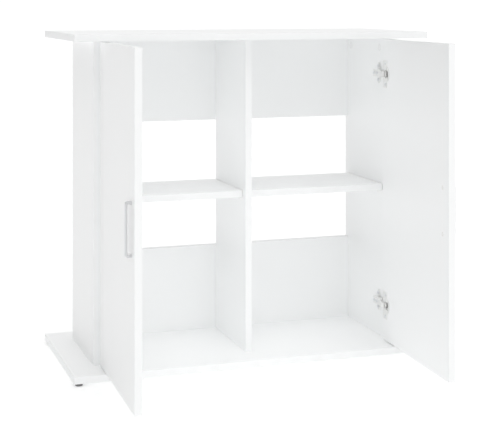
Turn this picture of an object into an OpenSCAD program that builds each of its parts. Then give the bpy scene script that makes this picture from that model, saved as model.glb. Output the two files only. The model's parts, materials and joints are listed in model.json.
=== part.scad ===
// Cabinet stand for an 80 cm aquarium: two wide plates, two sides, a divider,
// two back boards, two shelves and two doors on concealed cup hinges.
// The doors stand open. Origin: on the floor, under the middle of the plates.

/* [Plates and boards] */
// Width of the top and base plates
plate_w = 810; // [700:10:900]
// Depth of the top and base plates
plate_d = 360; // [340:10:400]
// Height from the floor to the top of the cabinet
height = 730; // [650:5:800]
// Thickness of every board
board = 15; // [15:1:18]
// Height of the glide feet
foot_h = 6; // [4:1:12]
// Diameter of a glide foot
foot_d = 16; // [14:1:24]

/* [Carcass] */
// Distance between the outer faces of the two sides
carcass_w = 700; // [600:10:780]
// Front edges of the sides, in front of the middle of the plates
front_y = 110; // [100:1:120]
// Back faces of the sides, behind the middle of the plates
back_y = 125; // [115:1:150]
// Height of each back board
back_board_h = 198; // [160:1:240]
// Depth of a shelf
shelf_d = 200; // [150:5:210]
// Play at each end of a shelf
shelf_gap = 0.5; // [0.5:0.5:2]

/* [Doors] */
// Degrees that the left door stands open
left_open = 91.5; // [0:0.5:105]
// Degrees that the right door stands open
right_open = 87.5; // [0:0.5:105]
// How far a closed door covers the edge of its side
overlay = 11; // [10:0.5:11]
// Gap between a closed door and the front edges behind it
door_back_gap = 2; // [2:0.5:3]
// Gap between the two closed doors
door_mid_gap = 2; // [2:0.5:4]
// Gap above and below a door
door_end_gap = 2.5; // [2:0.5:4]

/* [Handles] */
// Length of a handle
handle_l = 106; // [100:1:140]
// Distance between its two screws
handle_pitch = 96; // [90:1:128]
// Width of its bar
handle_w = 9; // [8:0.5:14]
// How far it stands off the door
handle_h = 12; // [11:1:30]
// Thickness of its bar
handle_t = 3.5; // [3:0.5:6]
// From its middle to the free edge of the door
handle_inset = 28; // [12:1:40]

/* [Hinges] */
// From the end of a door to the middle of its nearer hinge
hinge_inset = 80; // [75:1:120]
// Diameter of the cup bored into the door
cup_d = 35; // [35:1:35]
// Depth of the cup bore
cup_depth = 11.7; // [11.5:0.1:12.2]
// From the hinge edge of the door to the cup bore
cup_edge = 3; // [3:0.5:3]
// Height of the cup flange
flange_h = 62; // [58:1:66]
// Width of the cup flange
flange_w = 21.5; // [20:0.5:26]
// Front edge of the side to the screw line of the hinge plate
plate_line = 37; // [37:1:37]
// Screw spacing of the hinge plate
plate_pitch = 32; // [32:1:32]

/* [Hidden] */
$fn = 48;
eps = 0.5;      // overshoot of a cut
loose = 0.05;   // radial play of a fixing in its bore

white = "whitesmoke";
nickel = "silver";
birch = "burlywood";

LEFT = -1;
RIGHT = 1;

// Levels of the carcass
base_top = foot_h + board;
top_under = height - board;
wall_h = top_under - base_top;
side_in = carcass_w / 2 - board;
wall_x = [-(side_in + board / 2), 0, side_in + board / 2];
mid_z = (base_top + top_under) / 2;
shelf_under = mid_z - board / 2;
bay_w = side_in - board / 2;
bay_x = side_in / 2 + board / 4;
back_face = back_y - board;
back_mid_y = back_y - board / 2;
back_mid_z = [base_top + back_board_h / 2, top_under - back_board_h / 2];
end_dowel_dz = [-60, 60];
mid_dowel_dz = [-50, 50];

// Fixings between the walls and the plates
cam_y = [-75, 90];
dowel_y = [-40, 55];
cam_inset = 24;
cam_r = 7.4;
cam_h = 12.4;
cam_bore = 12.6;
cam_slot = 2.7;       // half width of the slot that the bolt passes
cam_room = 7.8;       // hollow round the bolt's head
bolt_head_r = 3.2;
bolt_head_x = [-2.6, 2.2];
bolt_thread_r = 3;
bolt_shank_r = 2.2;
bolt_bore_r = 3.5;
bolt_grip = 9;
side_grip = 7;
dowel_r = 4;
dowel_end = 20;
dowel_plate = 9;
dowel_side = 6.8;
cover_r = 8.5;
cover_t = 0.8;
screw_head_r = 5;
screw_head_h = 3;
screw_shank_r = 3.5;
screw_thread_r = 3;
screw_in_wall = 35;
pin_r = 2.5;
pin_in = 6.5;
pin_y = [-65, 80];
tongue_l = 9;
tongue_w = 8;
tongue_t = 2.2;
foot_xy = [[-1, -1], [1, -1], [-1, 1], [1, 1], [0, 0]];
foot_inset = 12;
foot_hole_r = 1.3;
foot_recess = 3;
foot_recess_r = 3.8;
foot_chamfer = 0.8;
nail_r = 1.2;
nail_head_r = 3.5;
nail_in = 12;

// Doors. A door is drawn closed, in its hinge frame: x runs from the inner face of the side
// towards the middle, y runs forwards from the front edge of the side.
door_z0 = base_top + door_end_gap;
door_h = wall_h - 2 * door_end_gap;
door_w = side_in + overlay - door_mid_gap / 2;
hinge_z = [door_z0 + hinge_inset, door_z0 + door_h - hinge_inset];
door_face = door_back_gap + board;
handle_x = door_w - overlay - handle_inset;
leg_l = handle_l - handle_pitch;
leg_tip = 5;
handle_bend = 5;
screw_in_leg = 7;
handle_screw_r = 2;
handle_head_r = 4;
handle_head_h = 1.8;

// Pivots of the hinge link, in the hinge frame. The link turns at a constant ratio to the door.
arm_pivot = [13.75, 0.25];
cup_pivot = [-2.5, 5];         // door closed
cup_pivot_square = [9, 16.5];  // door open at a right angle
link_bend = [24, 19];          // control point of the curved link, door at a right angle
link_turn = heading(cup_pivot_square - arm_pivot) - heading(cup_pivot - arm_pivot);
link_t = 2.4;
link_w = 12;
eye_r = 2.8;
pivot_r = 1.5;

// Cup, arm and plate of the hinge
cup_x = cup_edge + cup_d / 2 - overlay;
cup_r = cup_d / 2 - 0.1;
cup_h = cup_depth - 0.1;
flange_t = 1.2;
flange_x = [-9.5, flange_w - 9.5];
flange_corner = 3;
cup_screw_z = 24;
cup_screw_x = 6;
cup_screw_r = 1.75;
cup_screw_l = 11.5;
cup_slot_end = 18;
arm_w = 16;
arm_sheet = 1.2;
arm_top = 11.6;
arm_roof = 1.4;
arm_back = -47;
rail_x = 4.5;
arm_front = -5;
arm_eye_r = 3.2;
plate_body_top = 10;
plate_body_half = 6.4;
plate_screw_r = 2.5;
plate_screw_l = 12;
plate_body = [-45, -18];
wing_t = 2;
wing_w = 13;
wing_h = 49;
arm_screw_y = [-40, -25];
arm_screw_bore = 4.5;
arm_screw_l = 6.5;
arm_screw_r = 2;
arm_pin_half = 8.6;
cup_pin_half = 9.4;

module at_hinge_side(side, z) {
    translate([side * side_in, -front_y, z])
    if (side == LEFT) mirror([0, 1, 0]) children();
    else rotate([0, 0, 180]) children();
}

function heading(v) = atan2(v[1], v[0]);

// How far a door stands open, as a share of a right angle
function open_share(side) = (side == LEFT ? left_open : right_open) / 90;

module turned(pivot, angle) {
    translate([pivot[0], pivot[1], 0])
    rotate([0, 0, angle])
    translate([-pivot[0], -pivot[1], 0])
    children();
}

// Places what is drawn on a closed door where it sits on the open door
module opened(side) {
    share = open_share(side);
    turned(arm_pivot, link_turn * share)
    turned(cup_pivot, (90 - link_turn) * share)
    children();
}

module at_hinges(side) {
    for (z = hinge_z) at_hinge_side(side, z) children();
}

module box(x, y, z) {
    translate([x[0], y[0], z[0]]) cube([x[1] - x[0], y[1] - y[0], z[1] - z[0]]);
}

// Cylinder along X, from x0 to x1, at height z and depth y
module rod_x(x0, x1, y, z, r) {
    translate([x0, y, z]) rotate([0, 90, 0]) cylinder(r = r, h = x1 - x0);
}

module rod_y(x, y0, y1, z, r) {
    translate([x, y1, z]) rotate([90, 0, 0]) cylinder(r = r, h = y1 - y0);
}

module rod_z(x, y, z0, z1, r) {
    translate([x, y, z0]) cylinder(r = r, h = z1 - z0);
}

// ---------- plates ----------

module top_panel() {
    color(white)
    difference() {
        box([-plate_w / 2, plate_w / 2], [-plate_d / 2, plate_d / 2], [top_under, height]);
        for (x = wall_x, y = cam_y)
            rod_z(x, y, top_under - eps, top_under + bolt_grip + loose, bolt_thread_r + loose);
        for (x = wall_x, y = dowel_y)
            rod_z(x, y, top_under - eps, top_under + dowel_plate + 1, dowel_r + loose);
    }
}

module base_panel() {
    color(white)
    difference() {
        box([-plate_w / 2, plate_w / 2], [-plate_d / 2, plate_d / 2], [foot_h, base_top]);
        for (x = wall_x, y = cam_y) {
            rod_z(x, y, foot_h - eps, base_top + eps, screw_shank_r + loose);
            rod_z(x, y, foot_h - eps, foot_h + screw_head_h + 0.2, screw_head_r + loose);
        }
        for (x = wall_x, y = dowel_y)
            rod_z(x, y, base_top - dowel_plate - 1, base_top + eps, dowel_r + loose);
        at_feet() rod_z(0, 0, foot_h - eps, foot_h + nail_in + 0.2, nail_r + loose);
    }
}

// ---------- walls ----------

// An upright wall, from the front edges back to rear. pin_faces lists the sides that carry
// shelf pins, and cam_face the side that its top cams are bored from.
module wall(x, rear, pin_faces, cam_face) {
    difference() {
        box([x - board / 2, x + board / 2], [-front_y, rear], [base_top, top_under]);
        for (y = cam_y) {
            face_bore(x, cam_face, y, top_under - cam_inset, cam_r + loose, cam_bore);
            rod_z(x, y, top_under - cam_inset, top_under + eps, bolt_bore_r);
            rod_z(x, y, base_top - eps, base_top + screw_in_wall + 1, screw_thread_r + loose);
        }
        for (y = dowel_y) {
            rod_z(x, y, top_under - dowel_end - 1, top_under + eps, dowel_r + loose);
            rod_z(x, y, base_top - eps, base_top + dowel_end + 1, dowel_r + loose);
        }
        for (f = pin_faces, y = pin_y)
            face_bore(x, f, y, shelf_under - pin_r, pin_r + loose, pin_in + 0.3);
    }
}

// Bore from the face of a wall that looks along dir
module face_bore(x, dir, y, z, r, depth) {
    face = x + dir * board / 2;
    rod_x(min(face + dir * eps, face - dir * depth), max(face + dir * eps, face - dir * depth), y, z, r);
}

module side_panel(side) {
    x = side * (side_in + board / 2);
    color(white)
    difference() {
        wall(x, back_y, [-side], -side);
        for (z = back_mid_z) {
            face_bore(x, -side, back_mid_y, z, bolt_thread_r + loose, side_grip);
            for (dz = end_dowel_dz)
                face_bore(x, -side, back_mid_y, z + dz, dowel_r + loose, side_grip);
        }
        at_hinges(side)
        for (z = [-plate_pitch / 2, plate_pitch / 2])
            rod_x(-plate_screw_l - 0.2, eps, -plate_line, z, plate_screw_r + loose);
    }
}

module left_side_panel() { side_panel(LEFT); }
module right_side_panel() { side_panel(RIGHT); }

// The divider stops at the back boards, which pass behind it
module centre_divider() {
    color(white)
    difference() {
        wall(0, back_face, [LEFT, RIGHT], RIGHT);
        for (z = back_mid_z, dz = mid_dowel_dz)
            rod_y(0, back_face - dowel_end - 1, back_face + eps, z + dz, dowel_r + loose);
    }
}

// ---------- back boards ----------

// A back board from side to side, centred at height z
module back_board(z) {
    color(white)
    difference() {
        box([-side_in, side_in], [back_face, back_y], [z - back_board_h / 2, z + back_board_h / 2]);
        for (end = [LEFT, RIGHT]) {
            x_end = end * side_in;
            x_cam = end * (side_in - cam_inset);
            x_in = end * (side_in - dowel_end - 2);
            rod_y(x_cam, back_y - cam_bore, back_y + eps, z, cam_r + loose);
            end_bore(x_cam, x_end + end * eps, z, bolt_bore_r);
            for (dz = end_dowel_dz) end_bore(x_in, x_end + end * eps, z + dz, dowel_r + loose);
        }
        for (dz = mid_dowel_dz)
            rod_y(0, back_face - eps, back_face + dowel_plate + 1, z + dz, dowel_r + loose);
    }
}

// Bore along X between two places, in either order, through the middle of a back board
module end_bore(xa, xb, z, r) {
    rod_x(min(xa, xb), max(xa, xb), back_mid_y, z, r);
}

module lower_back() { back_board(back_mid_z[0]); }
module upper_back() { back_board(back_mid_z[1]); }

// ---------- shelves ----------

module shelf(side) {
    x = side * bay_x;
    half = bay_w / 2 - shelf_gap;
    y0 = back_y - board - shelf_d;
    color(white)
    box([x - half, x + half], [y0, y0 + shelf_d], [shelf_under, shelf_under + board]);
}

module shelf_left() { shelf(LEFT); }
module shelf_right() { shelf(RIGHT); }

// Peg in the wall, with a flat tongue under the shelf
module shelf_pin() {
    rod_x(-pin_in, 1.5, 0, -pin_r, pin_r);
    box([0.1, tongue_l], [-tongue_w / 2, tongue_w / 2], [-tongue_t, 0]);
    box([0.1, 1], [-tongue_w / 2, tongue_w / 2], [-6, 0]);
}

module shelf_pins() {
    color(nickel)
    for (side = [LEFT, RIGHT], y = pin_y) {
        translate([side * side_in, y, shelf_under - 0.02])
        mirror([side == RIGHT ? 1 : 0, 0, 0]) shelf_pin();
        translate([side * board / 2, y, shelf_under - 0.02])
        mirror([side == LEFT ? 1 : 0, 0, 0]) shelf_pin();
    }
}

// ---------- fixings ----------

module dowels() {
    color(birch) {
        for (x = wall_x, y = dowel_y) {
            rod_z(x, y, top_under - dowel_end, top_under + dowel_plate, dowel_r);
            rod_z(x, y, base_top - dowel_plate, base_top + dowel_end, dowel_r);
        }
        for (z = back_mid_z) {
            for (end = [LEFT, RIGHT], dz = end_dowel_dz)
                end_bore(end * (side_in + dowel_side), end * (side_in - dowel_end - 1), z + dz, dowel_r);
            for (dz = mid_dowel_dz)
                rod_y(0, back_face - dowel_end, back_face + dowel_plate, z + dz, dowel_r);
        }
    }
}

// Cam drum, its open face at z = 0 and its axis along +Z; the bolt enters along X
module cam_lock() {
    mid = board / 2;
    difference() {
        cylinder(r = cam_r, h = cam_h);
        box([-cam_r - eps, cam_r + eps], [-cam_slot, cam_slot], [mid - cam_slot, mid + cam_slot]);
        translate([0, 0, mid - cam_room / 2]) cylinder(r = 4.4, h = cam_room);
        for (a = [0, 90]) rotate([0, 0, a]) box([-4, 4], [-0.8, 0.8], [-eps, 1.6]);
    }
}

// Bolt along +X: round head in the cam at x = 0, thread from x = cam_inset on
module cam_bolt(grip) {
    rod_x(bolt_head_x[0], bolt_head_x[1], 0, 0, bolt_head_r);
    rod_x(0, cam_inset, 0, 0, bolt_shank_r);
    rod_x(cam_inset, cam_inset + grip, 0, 0, bolt_thread_r);
}

// Puts a cam in the inner face of each wall, near its top
module at_wall_cams() {
    for (i = [0 : 2], y = cam_y) {
        dir = i == 0 ? 1 : (i == 1 ? RIGHT : -1);
        translate([wall_x[i] + dir * board / 2, y, top_under - cam_inset])
        rotate([0, -90 * dir, 0]) children();
    }
}

// Puts a cam in the rear face of each back board, near its ends
module at_back_cams() {
    for (end = [LEFT, RIGHT], z = back_mid_z)
        translate([end * (side_in - cam_inset), back_y, z]) rotate([90, 0, 0]) children();
}

module cam_locks() {
    color(nickel) {
        at_wall_cams() cam_lock();
        at_back_cams() cam_lock();
    }
}

module cam_bolts() {
    color(nickel) {
        for (x = wall_x, y = cam_y)
            translate([x, y, top_under - cam_inset]) rotate([0, -90, 0]) cam_bolt(bolt_grip - 0.1);
        for (end = [LEFT, RIGHT], z = back_mid_z)
            translate([end * (side_in - cam_inset), back_mid_y, z])
            rotate([0, 0, end == LEFT ? 180 : 0]) cam_bolt(side_grip - 0.4);
    }
}

module cam_covers() {
    color(white) {
        at_wall_cams() translate([0, 0, -cover_t]) cylinder(r = cover_r, h = cover_t);
        at_back_cams() translate([0, 0, -cover_t]) cylinder(r = cover_r, h = cover_t);
    }
}

module base_screws() {
    color(nickel)
    for (x = wall_x, y = cam_y)
    difference() {
        union() {
            rod_z(x, y, foot_h + 0.1, foot_h + screw_head_h, screw_head_r);
            rod_z(x, y, foot_h + 1, base_top, screw_shank_r);
            rod_z(x, y, base_top - 1, base_top + screw_in_wall, screw_thread_r);
        }
        translate([x, y, foot_h]) cylinder(r = 2.3, h = 2.4, $fn = 6);
    }
}

// ---------- feet ----------

module at_feet() {
    for (p = foot_xy)
        translate([p[0] * (plate_w / 2 - foot_inset), p[1] * (plate_d / 2 - foot_inset), 0]) children();
}

module feet() {
    color("dimgray")
    at_feet()
    difference() {
        union() {
            rod_z(0, 0, foot_chamfer, foot_h, foot_d / 2);
            cylinder(r1 = foot_d / 2 - foot_chamfer, r2 = foot_d / 2, h = foot_chamfer);
        }
        rod_z(0, 0, -eps, foot_h + eps, foot_hole_r);
        rod_z(0, 0, -eps, foot_recess, foot_recess_r);
    }
}

module foot_nails() {
    color(nickel)
    at_feet() {
        rod_z(0, 0, foot_recess - 1.4, foot_recess - 0.1, nail_head_r);
        rod_z(0, 0, foot_recess - 1, foot_h + nail_in, nail_r);
    }
}

// ---------- hinges, parts fixed to the carcass ----------

module hinge_plate() {
    difference() {
        union() {
            box([0, wing_t], [-plate_line - wing_w / 2, -plate_line + wing_w / 2],
                [-wing_h / 2 + wing_w / 2, wing_h / 2 - wing_w / 2]);
            for (s = [-1, 1])
                rod_x(0, wing_t, -plate_line, s * (wing_h - wing_w) / 2, wing_w / 2);
            box([0, plate_body_top], plate_body, [-plate_body_half, plate_body_half]);
        }
        for (z = [-plate_pitch / 2, plate_pitch / 2])
            rod_x(-eps, wing_t + eps, -plate_line, z, plate_screw_r + 0.1);
        for (y = arm_screw_y)
            rod_x(arm_screw_bore, plate_body_top + eps, y, 0, arm_screw_r + loose);
    }
}

// Pan head screw along -X, its head on the plane x = 0
module flat_screw(head_r, head_h, shank_r, length) {
    difference() {
        union() {
            rod_x(0, head_h, 0, 0, head_r);
            rod_x(-length, head_h / 2, 0, 0, shank_r);
        }
        for (a = [0, 90])
            rotate([a, 0, 0]) box([head_h * 0.45, head_h + eps], [-head_r * 0.6, head_r * 0.6],
                [-head_r * 0.12, head_r * 0.12]);
    }
}

module hinge_arm() {
    half = arm_w / 2;
    difference() {
        union() {
            box([arm_top - arm_roof, arm_top], [arm_back, arm_front], [-half, half]);
            for (s = [-1, 1])
                translate([0, 0, s > 0 ? half - arm_sheet : -half])
                linear_extrude(arm_sheet) arm_cheek();
        }
        for (y = arm_screw_y)
            rod_x(arm_top - arm_roof - eps, arm_top + eps, y, 0, arm_screw_r + 0.2);
        rod_z(arm_pivot[0], arm_pivot[1], -half - eps, half + eps, pivot_r + 0.02);
    }
}

// Side of the arm: a low rail at the back that rises to the eye of the front pin
module arm_cheek() {
    polygon([[rail_x, arm_back], [arm_top, arm_back], [arm_top, -12],
        [arm_pivot[0] + arm_eye_r - 0.1, arm_pivot[1]], [arm_pivot[0] - arm_eye_r + 0.1, arm_pivot[1]],
        [8, arm_front], [rail_x, -12]]);
    translate(arm_pivot) circle(r = arm_eye_r);
}

module arm_pin() {
    rod_z(arm_pivot[0], arm_pivot[1], -arm_pin_half, arm_pin_half, pivot_r);
}

module left_hinge_plates() { color(nickel) at_hinges(LEFT) hinge_plate(); }
module right_hinge_plates() { color(nickel) at_hinges(RIGHT) hinge_plate(); }

module plate_screws(side) {
    color(nickel)
    at_hinges(side)
    for (z = [-plate_pitch / 2, plate_pitch / 2])
        translate([wing_t, -plate_line, z]) flat_screw(4.2, 1.8, plate_screw_r, plate_screw_l + wing_t);
}

module left_plate_screws() { plate_screws(LEFT); }
module right_plate_screws() { plate_screws(RIGHT); }

module left_hinge_arms() { color(nickel) at_hinges(LEFT) hinge_arm(); }
module right_hinge_arms() { color(nickel) at_hinges(RIGHT) hinge_arm(); }

module arm_screws(side) {
    color(nickel)
    at_hinges(side)
    for (y = arm_screw_y) translate([arm_top, y, 0]) flat_screw(3.6, 1.6, arm_screw_r, arm_screw_l);
}

module left_arm_screws() { arm_screws(LEFT); }
module right_arm_screws() { arm_screws(RIGHT); }
module left_arm_pins() { color(nickel) at_hinges(LEFT) arm_pin(); }
module right_arm_pins() { color(nickel) at_hinges(RIGHT) arm_pin(); }

// ---------- hinge link ----------

// Point of the link's middle line, s from 0 at the cup to 1 at the arm
function on_link(s) =
    pow(1 - s, 2) * cup_pivot_square + 2 * s * (1 - s) * link_bend + s * s * arm_pivot;
function link_dir(s) =
    let (d = (1 - s) * (link_bend - cup_pivot_square) + s * (arm_pivot - link_bend)) d / norm(d);
function beside_link(s, off) = on_link(s) + off * [-link_dir(s)[1], link_dir(s)[0]];

module hinge_link() {
    steps = 14;
    difference() {
        translate([0, 0, -link_w / 2])
        linear_extrude(link_w) {
            polygon([for (i = [0 : steps]) beside_link(i / steps, link_t / 2),
                for (i = [steps : -1 : 0]) beside_link(i / steps, -link_t / 2)]);
            translate(cup_pivot_square) circle(r = eye_r);
            translate(arm_pivot) circle(r = eye_r);
        }
        for (p = [cup_pivot_square, arm_pivot])
            rod_z(p[0], p[1], -link_w, link_w, pivot_r + loose);
    }
}

module hinge_links(side) {
    color(nickel)
    at_hinges(side) turned(arm_pivot, link_turn * (open_share(side) - 1)) hinge_link();
}

module left_hinge_links() { hinge_links(LEFT); }
module right_hinge_links() { hinge_links(RIGHT); }

// ---------- doors ----------

module door(side) {
    color(white)
    at_hinge_side(side, 0)
    opened(side)
    difference() {
        box([-overlay, door_w - overlay], [door_back_gap, door_face], [door_z0, door_z0 + door_h]);
        for (z = hinge_z) {
            rod_y(cup_x, door_back_gap - eps, door_back_gap + cup_depth, z, cup_d / 2);
            for (s = [-1, 1])
                rod_y(cup_screw_x, door_back_gap - eps, door_back_gap + cup_screw_l + 0.4,
                    z + s * cup_screw_z, cup_screw_r + loose);
        }
        for (z = [mid_z - handle_pitch / 2, mid_z + handle_pitch / 2]) {
            rod_y(handle_x, door_back_gap - eps, door_face + eps, z, handle_screw_r + 0.2);
            rod_y(handle_x, door_back_gap - eps, door_back_gap + handle_head_h + 0.3, z,
                handle_head_r + 0.2);
        }
    }
}

module left_door() { door(LEFT); }
module right_door() { door(RIGHT); }

// Bow handle: a flat bar on two legs that taper towards it, its outer corners rounded
module handle(side) {
    bend = handle_bend;
    half = handle_l / 2;
    inside = handle_h - handle_t;
    color(nickel)
    at_hinge_side(side, mid_z)
    opened(side)
    translate([handle_x, door_face, 0])
    difference() {
        translate([-handle_w / 2, 0, 0]) rotate([90, 0, 90]) linear_extrude(handle_w)
        difference() {
            union() {
                translate([0, -half]) square([handle_h - bend, handle_l]);
                translate([0, -half + bend]) square([handle_h, handle_l - 2 * bend]);
                for (s = [-1, 1]) translate([handle_h - bend, s * (half - bend)]) circle(r = bend);
            }
            polygon([[-eps, leg_l - half], [0, leg_l - half], [inside, leg_tip - half],
                [inside, half - leg_tip], [0, half - leg_l], [-eps, half - leg_l]]);
        }
        for (s = [-1, 1])
            rod_y(0, -eps, screw_in_leg + 1, s * handle_pitch / 2, handle_screw_r + loose);
    }
}

module left_handle() { handle(LEFT); }
module right_handle() { handle(RIGHT); }

module handle_screws(side) {
    color(nickel)
    at_hinge_side(side, mid_z)
    opened(side)
    for (s = [-1, 1])
        translate([handle_x, door_back_gap + handle_head_h + 0.1, s * handle_pitch / 2])
        rotate([0, 0, -90])
        flat_screw(handle_head_r, handle_head_h, handle_screw_r, board - handle_head_h + screw_in_leg);
}

module left_handle_screws() { handle_screws(LEFT); }
module right_handle_screws() { handle_screws(RIGHT); }

// Rectangle with rounded corners, over x and symmetric in height
module flange_outline() {
    r = flange_corner;
    translate([flange_x[0] + r, -flange_h / 2]) square([flange_w - 2 * r, flange_h]);
    translate([flange_x[0], r - flange_h / 2]) square([flange_w, flange_h - 2 * r]);
    for (x = [flange_x[0] + r, flange_x[1] - r], s = [-1, 1])
        translate([x, s * (flange_h / 2 - r)]) circle(r = r);
}

module hinge_cup() {
    back = door_back_gap;
    difference() {
        union() {
            rod_y(cup_x, back, back + cup_h, 0, cup_r);
            translate([0, back, 0]) rotate([90, 0, 0]) linear_extrude(flange_t) flange_outline();
        }
        // Room for the link, for the eye of the arm, and for the link's way out
        box([-5.6, cup_slot_end], [back - flange_t - eps, back + cup_h - 0.8], [-6.4, 6.4]);
        box([3, cup_slot_end], [back - flange_t - eps, back + 3.6], [-9.2, 9.2]);
        box([-12, -5], [back - flange_t - eps, back], [-6.8, 6.8]);
        rod_z(cup_pivot[0], cup_pivot[1], -cup_pin_half - 0.2, cup_pin_half + 0.2, pivot_r + 0.02);
        for (s = [-1, 1])
            rod_y(cup_screw_x, back - flange_t - eps, back + eps, s * cup_screw_z, cup_screw_r + 0.15);
    }
}

module hinge_cups(side) { color(nickel) at_hinges(side) opened(side) hinge_cup(); }
module left_hinge_cups() { hinge_cups(LEFT); }
module right_hinge_cups() { hinge_cups(RIGHT); }

module cup_screws(side) {
    color(nickel)
    at_hinges(side) opened(side)
    for (s = [-1, 1])
        translate([cup_screw_x, door_back_gap - flange_t, s * cup_screw_z])
        rotate([0, 0, -90]) flat_screw(3.6, 1.5, cup_screw_r, cup_screw_l + flange_t);
}

module left_cup_screws() { cup_screws(LEFT); }
module right_cup_screws() { cup_screws(RIGHT); }

module cup_pins(side) {
    color(nickel)
    at_hinges(side) opened(side)
    rod_z(cup_pivot[0], cup_pivot[1], -cup_pin_half, cup_pin_half, pivot_r);
}

module left_cup_pins() { cup_pins(LEFT); }
module right_cup_pins() { cup_pins(RIGHT); }

top_panel();
base_panel();
left_side_panel();
right_side_panel();
centre_divider();
upper_back();
lower_back();
shelf_left();
shelf_right();
shelf_pins();
dowels();
cam_locks();
cam_bolts();
cam_covers();
base_screws();
feet();
foot_nails();
left_hinge_plates();
left_plate_screws();
left_hinge_arms();
left_arm_screws();
left_arm_pins();
right_hinge_plates();
right_plate_screws();
right_hinge_arms();
right_arm_screws();
right_arm_pins();
left_hinge_links();
right_hinge_links();
left_door();
left_handle();
left_handle_screws();
left_hinge_cups();
left_cup_screws();
left_cup_pins();
right_door();
right_handle();
right_handle_screws();
right_hinge_cups();
right_cup_screws();
right_cup_pins();
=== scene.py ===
"""Looks of an aquarium stand cabinet: white melamine boards, concealed cup hinges, bow handles.

Everything is in metres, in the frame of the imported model: +Z up, the origin on the floor under
the middle of the plates, the doors at the -Y side.
"""

import json
import math

import bmesh
import bpy
from mathutils import Matrix, Vector

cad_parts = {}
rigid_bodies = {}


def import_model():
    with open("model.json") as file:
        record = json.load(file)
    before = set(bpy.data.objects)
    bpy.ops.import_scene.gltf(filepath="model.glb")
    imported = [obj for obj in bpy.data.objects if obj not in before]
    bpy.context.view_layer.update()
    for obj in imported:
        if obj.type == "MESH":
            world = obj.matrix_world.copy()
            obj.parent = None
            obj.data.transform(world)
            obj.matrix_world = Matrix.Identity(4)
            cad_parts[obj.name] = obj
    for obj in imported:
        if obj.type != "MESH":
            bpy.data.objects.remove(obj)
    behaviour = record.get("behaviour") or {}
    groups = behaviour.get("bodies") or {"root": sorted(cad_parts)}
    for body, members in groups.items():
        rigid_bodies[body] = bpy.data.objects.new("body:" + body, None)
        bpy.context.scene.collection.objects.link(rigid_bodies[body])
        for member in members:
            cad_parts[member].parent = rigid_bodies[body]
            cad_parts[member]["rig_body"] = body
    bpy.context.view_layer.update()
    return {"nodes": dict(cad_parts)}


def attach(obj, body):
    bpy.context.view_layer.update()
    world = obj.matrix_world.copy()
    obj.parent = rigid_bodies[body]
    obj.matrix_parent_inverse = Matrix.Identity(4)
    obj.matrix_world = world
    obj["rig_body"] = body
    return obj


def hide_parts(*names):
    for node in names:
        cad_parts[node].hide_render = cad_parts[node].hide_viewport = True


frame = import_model()
nodes = frame["nodes"]
scene = bpy.context.scene

MM = 0.001
X, Y, Z = 0, 1, 2
ON_PLANE = 0.01 * MM  # points this near a plane count as lying in it
SHARP_ABOVE = math.radians(40)


# ---------- materials ----------


class Shader:
    """A node material under construction: add() makes a node, link() joins two sockets."""

    def __init__(self, name):
        self.material = bpy.data.materials.new(name)
        self.material.use_nodes = True
        self.tree = self.material.node_tree
        self.surface = self.tree.nodes["Principled BSDF"]
        self.place = self.add("ShaderNodeTexCoord").outputs["Object"]

    def add(self, kind, **inputs):
        node = self.tree.nodes.new(kind)
        for socket, value in inputs.items():
            node.inputs[socket.replace("_", " ")].default_value = value
        return node

    def link(self, output, node, socket):
        self.tree.links.new(output, node.inputs[socket])

    def stretched(self, scale):
        """The object's coordinates, scaled along each axis."""
        mapping = self.add("ShaderNodeMapping")
        mapping.inputs["Scale"].default_value = scale
        self.link(self.place, mapping, "Vector")
        return mapping.outputs["Vector"]

    def noise(self, scale, detail=3.0, rough=0.5, stretch=(1, 1, 1)):
        node = self.add("ShaderNodeTexNoise", Scale=scale, Detail=detail, Roughness=rough)
        self.link(self.stretched(stretch), node, "Vector")
        return node.outputs["Fac"]

    def cells(self, scale):
        node = self.add("ShaderNodeTexVoronoi", Scale=scale)
        self.link(self.stretched((1, 1, 1)), node, "Vector")
        return node

    def ramp(self, value, stops):
        """Colours by value; stops lists (position, colour)."""
        node = self.add("ShaderNodeValToRGB")
        while len(node.color_ramp.elements) < len(stops):
            node.color_ramp.elements.new(0.5)
        for element, (position, colour) in zip(node.color_ramp.elements, stops):
            element.position = position
            element.color = (*colour, 1)
        self.link(value, node, "Fac")
        return node.outputs["Color"]

    def spread(self, value, low, high):
        """value, which noise keeps at about 0.3 to 0.7, spread from low to high."""
        node = self.add("ShaderNodeMapRange", From_Min=0.3, From_Max=0.7, To_Min=low, To_Max=high)
        self.link(value, node, "Value")
        return node.outputs["Result"]

    def bump(self, height, strength, distance, under=None):
        """Relief from height, laid over an earlier relief if under is given."""
        node = self.add("ShaderNodeBump", Strength=strength, Distance=distance)
        self.link(height, node, "Height")
        if under is not None:
            self.link(under, node, "Normal")
        self.link(node.outputs["Normal"], self.surface, "Normal")
        return node.outputs["Normal"]

    def set(self, **inputs):
        """Plain numbers and colours of the surface; _ stands for a space in a socket's name."""
        for socket, value in inputs.items():
            self.surface.inputs[socket.replace("_", " ")].default_value = value


def grey(value):
    return (value, value, value)


def white_melamine():
    """Printed decor paper: pearl texture, a faint unevenness of the white, a satin sheen."""
    m = Shader("white_melamine")
    tone = m.ramp(m.noise(7, 4), [(0.3, (0.966, 0.972, 0.973)), (0.7, (0.975, 0.98, 0.981))])
    m.link(tone, m.surface, "Base Color")
    pearl = m.noise(1500, 2, 0.6)
    m.link(m.spread(pearl, 0.36, 0.5), m.surface, "Roughness")
    wave = m.bump(m.noise(45, 2), 0.25, 0.05 * MM)
    m.bump(pearl, 0.5, 0.03 * MM, wave)
    m.set(IOR=1.5)
    return m.material


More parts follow.
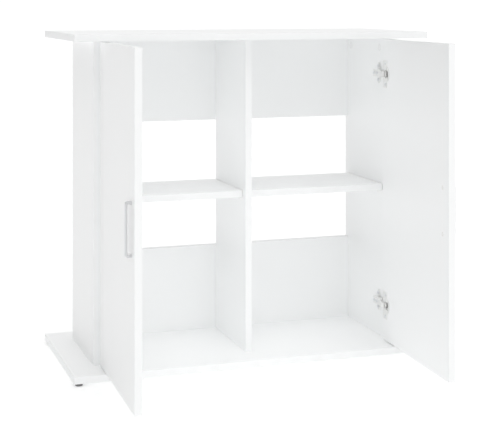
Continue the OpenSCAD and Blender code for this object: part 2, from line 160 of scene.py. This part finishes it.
def edge_band():
    """Thin plastic edge band, smoother than the faces and a touch less white."""
    m = Shader("edge_band")
    tone = m.ramp(m.noise(20, 3), [(0.3, (0.933, 0.941, 0.942)), (0.7, (0.943, 0.95, 0.951))])
    m.link(tone, m.surface, "Base Color")
    grain = m.noise(2500, 2)
    m.link(m.spread(grain, 0.28, 0.4), m.surface, "Roughness")
    m.bump(grain, 0.3, 0.02 * MM)
    return m.material


def particle_core():
    """Raw particle board: flat chips of several browns pressed together."""
    m = Shader("particle_core")
    chips = m.cells(420)
    browns = [(0.0, (0.28, 0.17, 0.08)), (0.4, (0.45, 0.3, 0.16)), (0.75, (0.6, 0.44, 0.27)),
              (1.0, (0.7, 0.56, 0.38))]
    m.link(m.ramp(chips.outputs["Color"], browns), m.surface, "Base Color")
    m.bump(chips.outputs["Distance"], 0.8, 0.3 * MM)
    m.set(Roughness=0.9)
    return m.material


def brushed_aluminium():
    """Satin metal with fine brush lines along its length, which is upright."""
    m = Shader("brushed_aluminium")
    lines = m.noise(1.0, 6, 0.7, (2600, 2600, 22))
    tone = m.ramp(lines, [(0.25, (0.64, 0.65, 0.66)), (0.75, (0.78, 0.79, 0.8))])
    m.link(tone, m.surface, "Base Color")
    m.link(m.spread(lines, 0.36, 0.52), m.surface, "Roughness")
    m.bump(lines, 0.35, 0.02 * MM)
    m.set(Metallic=1.0, Anisotropic=0.6)
    return m.material


def plated_steel(name, dark, light, rough):
    """Pressed steel with a thin bright plating: cloudy sheen and a fine rolled grain."""
    m = Shader(name)
    cloud = m.noise(160, 5, 0.65)
    m.link(m.ramp(cloud, [(0.3, dark), (0.7, light)]), m.surface, "Base Color")
    m.link(m.spread(cloud, rough, rough + 0.16), m.surface, "Roughness")
    grain = m.noise(1.0, 4, 0.6, (3000, 600, 3000))
    m.bump(grain, 0.25, 0.02 * MM)
    m.set(Metallic=0.7)
    return m.material


def cast_zinc():
    """Die-cast alloy with the dull, slightly pitted skin it leaves the mould with."""
    m = Shader("cast_zinc")
    pits = m.cells(900)
    cloud = m.noise(220, 5)
    tone = m.ramp(cloud, [(0.3, (0.36, 0.37, 0.39)), (0.7, (0.52, 0.53, 0.55))])
    m.link(tone, m.surface, "Base Color")
    m.link(m.spread(cloud, 0.4, 0.6), m.surface, "Roughness")
    m.bump(pits.outputs["Distance"], 0.3, 0.05 * MM)
    m.set(Metallic=1.0)
    return m.material


def moulded_plastic(name, dark, light, rough, grain_size):
    """Moulded plastic with an eroded mould texture."""
    m = Shader(name)
    grain = m.noise(grain_size, 3, 0.6)
    m.link(m.ramp(grain, [(0.3, dark), (0.7, light)]), m.surface, "Base Color")
    m.link(m.spread(grain, rough, rough + 0.15), m.surface, "Roughness")
    m.bump(grain, 0.4, 0.04 * MM)
    return m.material


def birch_wood():
    """Turned birch, its grain running along the dowel."""
    m = Shader("birch_wood")
    rings = m.noise(1.0, 6, 0.6, (350, 900, 350))
    browns = [(0.25, (0.56, 0.38, 0.2)), (0.55, (0.74, 0.56, 0.35)), (0.8, (0.82, 0.66, 0.45))]
    m.link(m.ramp(rings, browns), m.surface, "Base Color")
    m.bump(rings, 0.4, 0.08 * MM)
    m.set(Roughness=0.62)
    return m.material


MELAMINE, BAND, CORE = white_melamine(), edge_band(), particle_core()
ALUMINIUM = brushed_aluminium()
NICKEL = plated_steel("nickel_plated_steel", (0.86, 0.86, 0.85), (0.93, 0.93, 0.92), 0.34)
ZINC = plated_steel("zinc_plated_steel", (0.78, 0.79, 0.81), (0.88, 0.89, 0.91), 0.3)
ALLOY = cast_zinc()
FOOT = moulded_plastic("foot_plastic", grey(0.18), grey(0.23), 0.5, 1600)
COVER = moulded_plastic("cover_plastic", grey(0.92), grey(0.95), 0.22, 2400)
BIRCH = birch_wood()
ENAMEL = moulded_plastic("white_enamel", grey(0.95), grey(0.97), 0.2, 3000)


# ---------- meshes ----------


def mesh_of(node):
    """An editable copy of a CAD node's mesh, its split corners joined and flat faces merged."""
    bm = bmesh.new()
    bm.from_mesh(nodes[node].data)
    bmesh.ops.remove_doubles(bm, verts=bm.verts, dist=0.001 * MM)
    bmesh.ops.dissolve_limit(bm, angle_limit=math.radians(0.5), verts=bm.verts, edges=bm.edges)
    return bm


def turned(bm, angle):
    """Turns a mesh about the vertical line through the origin."""
    bmesh.ops.rotate(bm, verts=bm.verts, cent=(0, 0, 0), matrix=Matrix.Rotation(angle, 3, "Z"))


def box_of(bm):
    """Lowest and highest corner of a mesh."""
    return [Vector(pick(v.co[a] for v in bm.verts) for a in range(3)) for pick in (min, max)]


def turn_of(node):
    """The angle about Z of a door's faces, 0 where they look along X."""
    bm = mesh_of(node)
    normal = max(bm.faces, key=lambda f: f.calc_area()).normal
    angle = math.atan(normal.y / normal.x)
    bm.free()
    return angle


def finish_piece(bm, name, node, materials, smooth_below=35):
    """Makes bm an object that replaces a CAD node and rides on the node's body.

    Edges flatter than smooth_below degrees are shaded smooth."""
    mesh = bpy.data.meshes.new(name)
    bm.to_mesh(mesh)
    bm.free()
    for material in materials:
        mesh.materials.append(material)
    mesh.shade_smooth()
    mesh.set_sharp_from_angle(angle=math.radians(smooth_below))
    piece = bpy.data.objects.new(name, mesh)
    scene.collection.objects.link(piece)
    normals = piece.modifiers.new("even_shading", "WEIGHTED_NORMAL")
    normals.keep_sharp = True
    normals.weight = 100
    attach(piece, nodes[node]["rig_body"])
    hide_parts(node)
    return piece


def round_edges(bm, radius, segments, edges=None):
    """Rounds the edges given, or else every edge sharper than SHARP_ABOVE."""
    if edges is None:
        edges = [e for e in bm.edges
                 if len(e.link_faces) == 2 and e.calc_face_angle(0) > SHARP_ABOVE]
    if edges:
        bmesh.ops.bevel(bm, geom=edges, offset=radius, offset_type="OFFSET", segments=segments,
                        profile=0.5, affect="EDGES", clamp_overlap=True)


def box_mesh(low, high):
    """A closed box between two corners."""
    bm = bmesh.new()
    bmesh.ops.create_cube(bm, size=1)
    for v in bm.verts:
        v.co = Vector(high[a] if v.co[a] > 0 else low[a] for a in range(3))
    return bm


def add_mesh(bm, other, material_index):
    """Adds the closed mesh other to bm, with one material, and frees it."""
    for f in other.faces:
        f.material_index = material_index
    copy = bpy.data.meshes.new("part")
    other.to_mesh(copy)
    other.free()
    bm.from_mesh(copy)
    bpy.data.meshes.remove(copy)


# ---------- boards ----------

BAND_T = 0.8 * MM
BAND_ROUND = 0.5 * MM
BAND_CHAMFER = 0.06 * MM
ON_FACES, ON_BANDS, IN_BORES = 0, 1, 2  # a board's material indices


def band_mesh(low, high, axis, sign, round_ends):
    """An edge band: a strip with its outer edges rounded and a hairline chamfer at the core.

    Its outer side faces along axis by sign. Its ends are rounded too where they meet no other
    band."""
    bm = box_mesh(low, high)
    outer = (high if sign > 0 else low)[axis]
    inner = (low if sign > 0 else high)[axis]
    along = max((a for a in range(3) if a != axis), key=lambda a: high[a] - low[a])

    def edges_at(plane, with_ends):
        found = []
        for e in bm.edges:
            a, b = (v.co for v in e.verts)
            runs_along = abs(a[along] - b[along]) > ON_PLANE
            in_plane = all(abs(p[axis] - plane) < ON_PLANE for p in (a, b))
            if in_plane and (runs_along or with_ends):
                found.append(e)
        return found

    round_edges(bm, BAND_ROUND, 3, edges_at(outer, round_ends))
    round_edges(bm, BAND_CHAMFER, 1, edges_at(inner, False))
    return bm


def board(node, bands, turn=0.0):
    """A board with its melamine faces, raw core in its bores, and a band on each listed edge.

    bands lists (axis, sign) of the banded edges. The first ones run the full length and later
    ones butt against them. turn is the board's angle about Z: it is built square to the axes
    and turned back."""
    bm = mesh_of(node)
    turned(bm, -turn)
    low, high = box_of(bm)
    across = min(range(3), key=lambda a: high[a] - low[a])
    for f in bm.faces:
        level = f.calc_center_median()[across]
        outermost = min(abs(level - low[across]), abs(level - high[across])) < ON_PLANE
        on_face = outermost and abs(f.normal[across]) > 0.99
        f.material_index = ON_FACES if on_face else IN_BORES
    for axis, sign in bands:
        plane = (high if sign > 0 else low)[axis]
        for v in bm.verts:
            if abs(v.co[axis] - plane) < ON_PLANE:
                v.co[axis] -= sign * BAND_T
    placed = []
    for axis, sign in bands:
        start, end = Vector(low), Vector(high)
        if sign > 0:
            start[axis] = high[axis] - BAND_T
        else:
            end[axis] = low[axis] + BAND_T
        butts = False
        for other, other_sign in placed:
            if other != axis:
                butts = True
                if other_sign > 0:
                    end[other] -= BAND_T
                else:
                    start[other] += BAND_T
        add_mesh(bm, band_mesh(start, end, axis, sign, not butts), ON_BANDS)
        placed.append((axis, sign))
    turned(bm, turn)
    return finish_piece(bm, node + "_board", node, [MELAMINE, BAND, CORE])


ALL_ROUND_FLAT = [(Y, -1), (Y, 1), (X, -1), (X, 1)]
FRONT_AND_REAR = [(Y, -1), (Y, 1)]
board("top_panel", ALL_ROUND_FLAT)
board("base_panel", ALL_ROUND_FLAT)
for wall in ("left_side_panel", "right_side_panel", "centre_divider", "shelf_left", "shelf_right"):
    board(wall, FRONT_AND_REAR)
board("upper_back", [(Z, -1)])
board("lower_back", [(Z, 1)])
for door in ("left_door", "right_door"):
    board(door, [(Z, -1), (Z, 1), (Y, -1), (Y, 1)], turn_of(door))


# ---------- handles ----------

BAR_T = 3.5 * MM
FOOT_T, TIP_T = 7 * MM, 4 * MM  # a leg's thickness at the door and at the bar
OUTER_BEND, INNER_BEND = 5 * MM, 2 * MM
LEG_SLOPE = 26  # degrees, of a leg's inner side
HANDLE_ROUND = 1.1 * MM


def arc(centre, radius, start, end, steps):
    """Points of an arc in a plane, angles in degrees."""
    angles = [math.radians(start + (end - start) * i / steps) for i in range(steps + 1)]
    return [(centre[0] + radius * math.cos(a), centre[1] + radius * math.sin(a)) for a in angles]


def bow_handle(side, door_side):
    """A flat bar bent into a bow, all its edges softened; its feet stand flat on the door.

    door_side is the way the handle points along X, once its door is turned square."""
    turn = turn_of(side + "_door")
    bm = mesh_of(side + "_handle")
    turned(bm, -turn)
    low, high = box_of(bm)
    bm.clear()
    depth, half = high.x - low.x, (high.z - low.z) / 2
    outer_x, outer_z = depth - OUTER_BEND, half - OUTER_BEND
    inner_x, inner_z = depth - BAR_T - INNER_BEND, half - TIP_T - INNER_BEND
    outline = [(0, -half)]
    outline += arc((outer_x, -outer_z), OUTER_BEND, -90, 0, 10)
    outline += arc((outer_x, outer_z), OUTER_BEND, 0, 90, 10)
    outline += [(0, half), (0, half - FOOT_T)]
    outline += arc((inner_x, inner_z), INNER_BEND, 90 + LEG_SLOPE, 0, 10)
    outline += arc((inner_x, -inner_z), INNER_BEND, 0, -90 - LEG_SLOPE, 10)
    outline += [(0, -half + FOOT_T)]
    foot_x = high.x if door_side < 0 else low.x
    middle_z = (low.z + high.z) / 2
    ring = [bm.verts.new((foot_x + door_side * out, low.y, middle_z + up)) for out, up in outline]
    cap = bm.faces.new(ring)
    made = bmesh.ops.extrude_face_region(bm, geom=[cap])["geom"]
    for v in made:
        if isinstance(v, bmesh.types.BMVert):
            v.co.y = high.y
    bmesh.ops.recalc_face_normals(bm, faces=bm.faces)
    rims = [e for e in bm.edges
            if abs(e.verts[0].co.y - e.verts[1].co.y) < ON_PLANE
            and not all(abs(v.co.x - foot_x) < ON_PLANE for v in e.verts)]
    round_edges(bm, HANDLE_ROUND, 4, rims)
    turned(bm, turn)
    name, node = side + "_bow_handle", side + "_handle"
    return finish_piece(bm, name, node, [ALUMINIUM], 40)


bow_handle("left", -1)
bow_handle("right", 1)


# ---------- hinges and fixings ----------


def softened(node, material, radius, segments=2):
    """A metal or plastic part as the CAD has it, its sharp edges rounded."""
    bm = mesh_of(node)
    round_edges(bm, radius, segments)
    return finish_piece(bm, node + "_soft", node, [material])


SHEET_ROUND, CUP_ROUND = 0.3 * MM, 0.25 * MM
SCREW_ROUND, FLUSH_ROUND = 0.15 * MM, 0.05 * MM
PIN_ROUND = 0.2 * MM
CAP_ROUND, GLIDE_ROUND = 0.35 * MM, 0.4 * MM

for side in ("left", "right"):
    softened(side + "_hinge_plates", NICKEL, SHEET_ROUND)
    softened(side + "_hinge_arms", NICKEL, SHEET_ROUND)
    softened(side + "_hinge_links", NICKEL, PIN_ROUND)
    softened(side + "_hinge_cups", NICKEL, CUP_ROUND)
    for screws in ("_plate_screws", "_arm_screws", "_cup_screws"):
        softened(side + screws, ZINC, SCREW_ROUND)
    softened(side + "_handle_screws", ENAMEL, FLUSH_ROUND)
    for pins in ("_arm_pins", "_cup_pins"):
        softened(side + pins, ZINC, PIN_ROUND)
softened("shelf_pins", NICKEL, PIN_ROUND)
softened("cam_covers", COVER, CAP_ROUND, 3)
softened("cam_locks", ALLOY, SCREW_ROUND)
softened("base_screws", ZINC, SCREW_ROUND)
softened("feet", FOOT, GLIDE_ROUND, 3)
for node, material in (("cam_bolts", ZINC), ("dowels", BIRCH), ("foot_nails", ZINC)):
    nodes[node].data.materials.clear()
    nodes[node].data.materials.append(material)


# ---------- studio ----------

FLOOR_REACH = 30  # half the floor's width
FLOOR_DROP = 0.05 * MM  # keeps the floor clear of the feet
FLOOR_GLOW = 0.2
SURROUND = 0.65  # the surround's light before it changes with direction
SURROUND_RISE = (0.11, -0.03, 0.6)  # brighter overhead
SURROUND_DIP = (-0.4, 0.0, 0.0)  # darker at both sides, so that the sides' faces show
BACKDROP = 1.05
SUN_FROM = (-0.05, -1.0, 1.2)
SUN_STRENGTH = 0.45
SUN_WIDTH = 60  # degrees across
LIGHT_BOUNCES = 10  # light reaches deep into the white bays

CAMERA_PLACE = Vector((-0.902, -2.737, 0.7976))
CAMERA_YAW = 18.27  # degrees to the right of straight ahead
CAMERA_LENS = 89.65  # mm, on a sensor 36 mm wide
LENS_SHIFT = {"shift_x": 0.0342, "shift_y": -0.4247}  # in widths of the sensor


def pale_floor():
    """A wide, plain floor with a trace of mottling."""
    m = Shader("pale_floor")
    m.link(m.ramp(m.noise(1.5), [(0.3, grey(0.90)), (0.7, grey(0.92))]), m.surface, "Base Color")
    m.set(Roughness=0.9, Emission_Color=(1, 1, 1, 1), Emission_Strength=FLOOR_GLOW)
    bm = bmesh.new()
    bmesh.ops.create_grid(bm, x_segments=8, y_segments=8, size=FLOOR_REACH)
    mesh = bpy.data.meshes.new("floor")
    bm.to_mesh(mesh)
    bm.free()
    mesh.materials.append(m.material)
    floor = bpy.data.objects.new("floor", mesh)
    scene.collection.objects.link(floor)
    floor.location.z = -FLOOR_DROP


def low_sun():
    """A very soft light from in front of the cabinet, as far off as the sun."""
    data = bpy.data.lights.new("low_sun", "SUN")
    data.energy = SUN_STRENGTH
    data.angle = math.radians(SUN_WIDTH)
    light = bpy.data.objects.new("low_sun", data)
    light.rotation_euler = Vector(SUN_FROM).to_track_quat("Z", "Y").to_euler()
    scene.collection.objects.link(light)


def white_world():
    """A white surround whose light changes with direction; the camera sees it as plain white."""
    world = bpy.data.worlds.new("studio")
    world.use_nodes = True
    tree = world.node_tree

    def add(kind, operation, first, second=None):
        node = tree.nodes.new(kind)
        node.operation = operation
        for socket, value in zip(node.inputs, (first, second)):
            if isinstance(value, bpy.types.NodeSocket):
                tree.links.new(value, socket)
            elif value is not None:
                socket.default_value = value
        return node

    direction = tree.nodes.new("ShaderNodeTexCoord").outputs["Generated"]
    size = add("ShaderNodeVectorMath", "ABSOLUTE", direction).outputs["Vector"]
    rise = add("ShaderNodeVectorMath", "DOT_PRODUCT", direction, SURROUND_RISE).outputs["Value"]
    dip = add("ShaderNodeVectorMath", "DOT_PRODUCT", size, SURROUND_DIP).outputs["Value"]
    change = add("ShaderNodeMath", "ADD", rise, dip).outputs["Value"]
    light = add("ShaderNodeMath", "ADD", change, SURROUND).outputs["Value"]
    seen = tree.nodes.new("ShaderNodeLightPath").outputs["Is Camera Ray"]
    strength = tree.nodes.new("ShaderNodeMapRange")
    strength.inputs["To Max"].default_value = BACKDROP
    tree.links.new(seen, strength.inputs["Value"])
    tree.links.new(light, strength.inputs["To Min"])
    background = tree.nodes["Background"]
    background.inputs["Color"].default_value = (1, 1, 1, 1)
    tree.links.new(strength.outputs["Result"], background.inputs["Strength"])
    scene.world = world


def photo_camera():
    """A level camera in front of the cabinet, to its left and above its top.

    Its lens is shifted down so that upright edges stay upright. The shift belongs to this one
    viewpoint, so a driver drops it as soon as the camera stands anywhere else."""
    data = bpy.data.cameras.new("camera")
    data.sensor_width = 36
    data.lens = CAMERA_LENS
    data.clip_end = 100
    camera = bpy.data.objects.new("camera", data)
    camera.location = CAMERA_PLACE
    camera.rotation_euler = (math.pi / 2, 0, -math.radians(CAMERA_YAW))
    scene.collection.objects.link(camera)
    scene.camera = camera
    moved = " + ".join(f"abs({c} - {v:.4f})" for c, v in zip("xyz", CAMERA_PLACE))
    for path, shift in LENS_SHIFT.items():
        driver = data.driver_add(path).driver
        driver.type = "SCRIPTED"
        for axis, letter in enumerate("xyz"):
            variable = driver.variables.new()
            variable.name = letter
            variable.targets[0].id = camera
            variable.targets[0].data_path = f"location[{axis}]"
        driver.expression = f"{shift:.4f} if {moved} < 0.01 else 0.0"


pale_floor()
white_world()
low_sun()
photo_camera()
scene.view_settings.view_transform = "Standard"
scene.cycles.diffuse_bounces = LIGHT_BOUNCES
